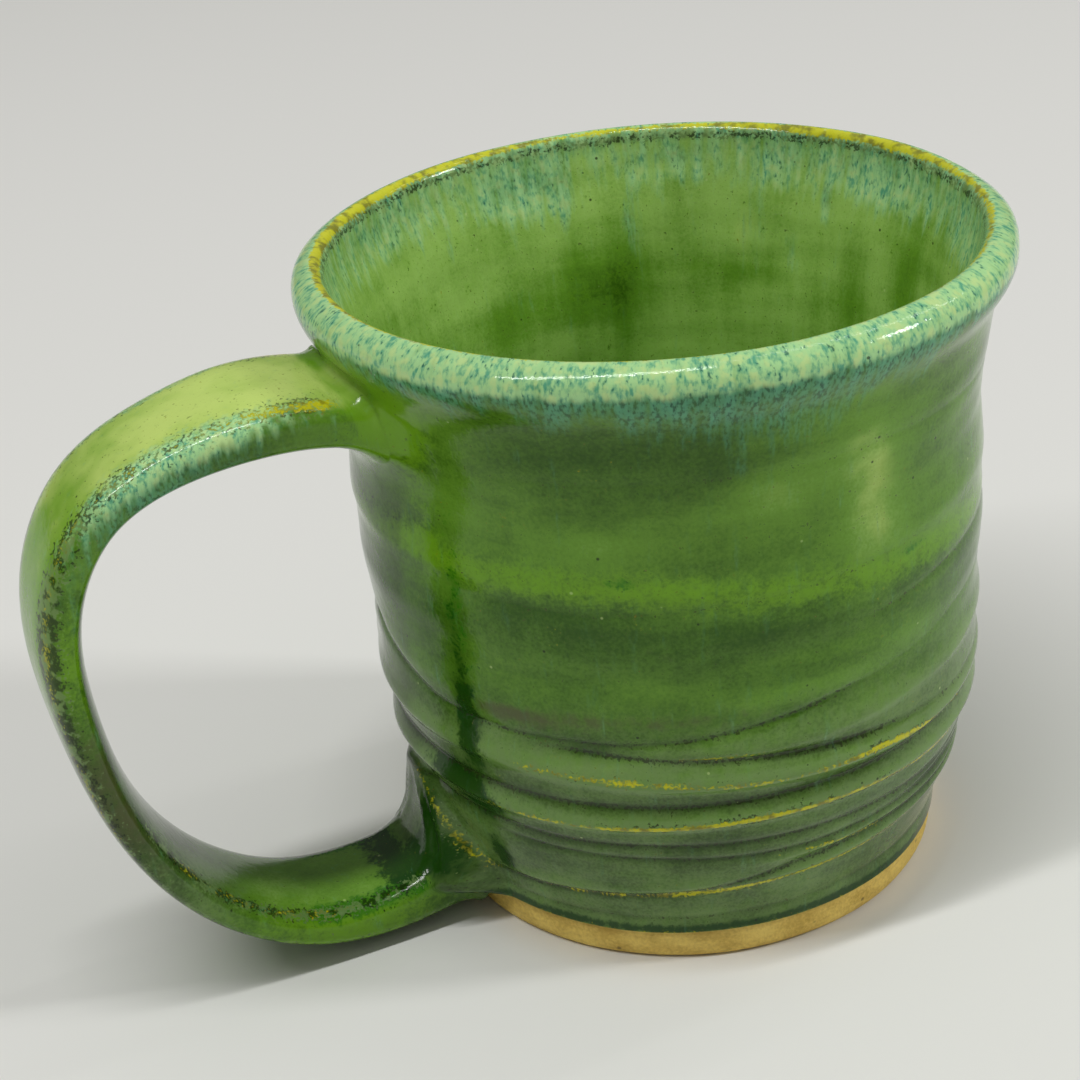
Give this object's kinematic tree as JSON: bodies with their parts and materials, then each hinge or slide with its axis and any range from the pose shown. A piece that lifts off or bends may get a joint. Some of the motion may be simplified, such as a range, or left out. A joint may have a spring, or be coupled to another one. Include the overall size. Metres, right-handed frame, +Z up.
{
  "type": "mug",
  "caption": "Hand-thrown stoneware mug with a flared rolled lip, throwing rings, a pulled strap handle and running green glaze.",
  "frame": {"origin": "centre of the flat foot, on the surface the mug stands on", "axes": "+Z up along the mug's axis; the handle points along -X and lies in the plane y = 0"},
  "size_m": [0.1414, 0.0976, 0.095],
  "materials": {
    "body_clay": "bare fired stoneware, tan with fine iron specks, dry matt",
    "handle_clay": "pulled stoneware under the glaze",
    "joint_slip": "stoneware slip worked in round the handle's roots",
    "green_glaze": "glossy running green glaze, breaking yellow on crests and pooling dark in grooves",
    "liner_glaze": "glossy translucent green liner with vertical runs",
    "mint_glaze": "glossy mottled mint and teal rim glaze with feathered lower edge",
    "handle_glaze": "glossy lime green glaze, dark and speckled where it breaks over the edges"
  },
  "bodies": {
    "root": {"clay_body": "body_clay", "handle_strap": "handle_clay", "upper_joint_slip": "joint_slip", "lower_joint_slip": "joint_slip", "outer_glaze": "green_glaze", "liner_glaze": "liner_glaze", "rim_glaze": "mint_glaze", "handle_glaze": "handle_glaze"}
  },
  "joints": []
}
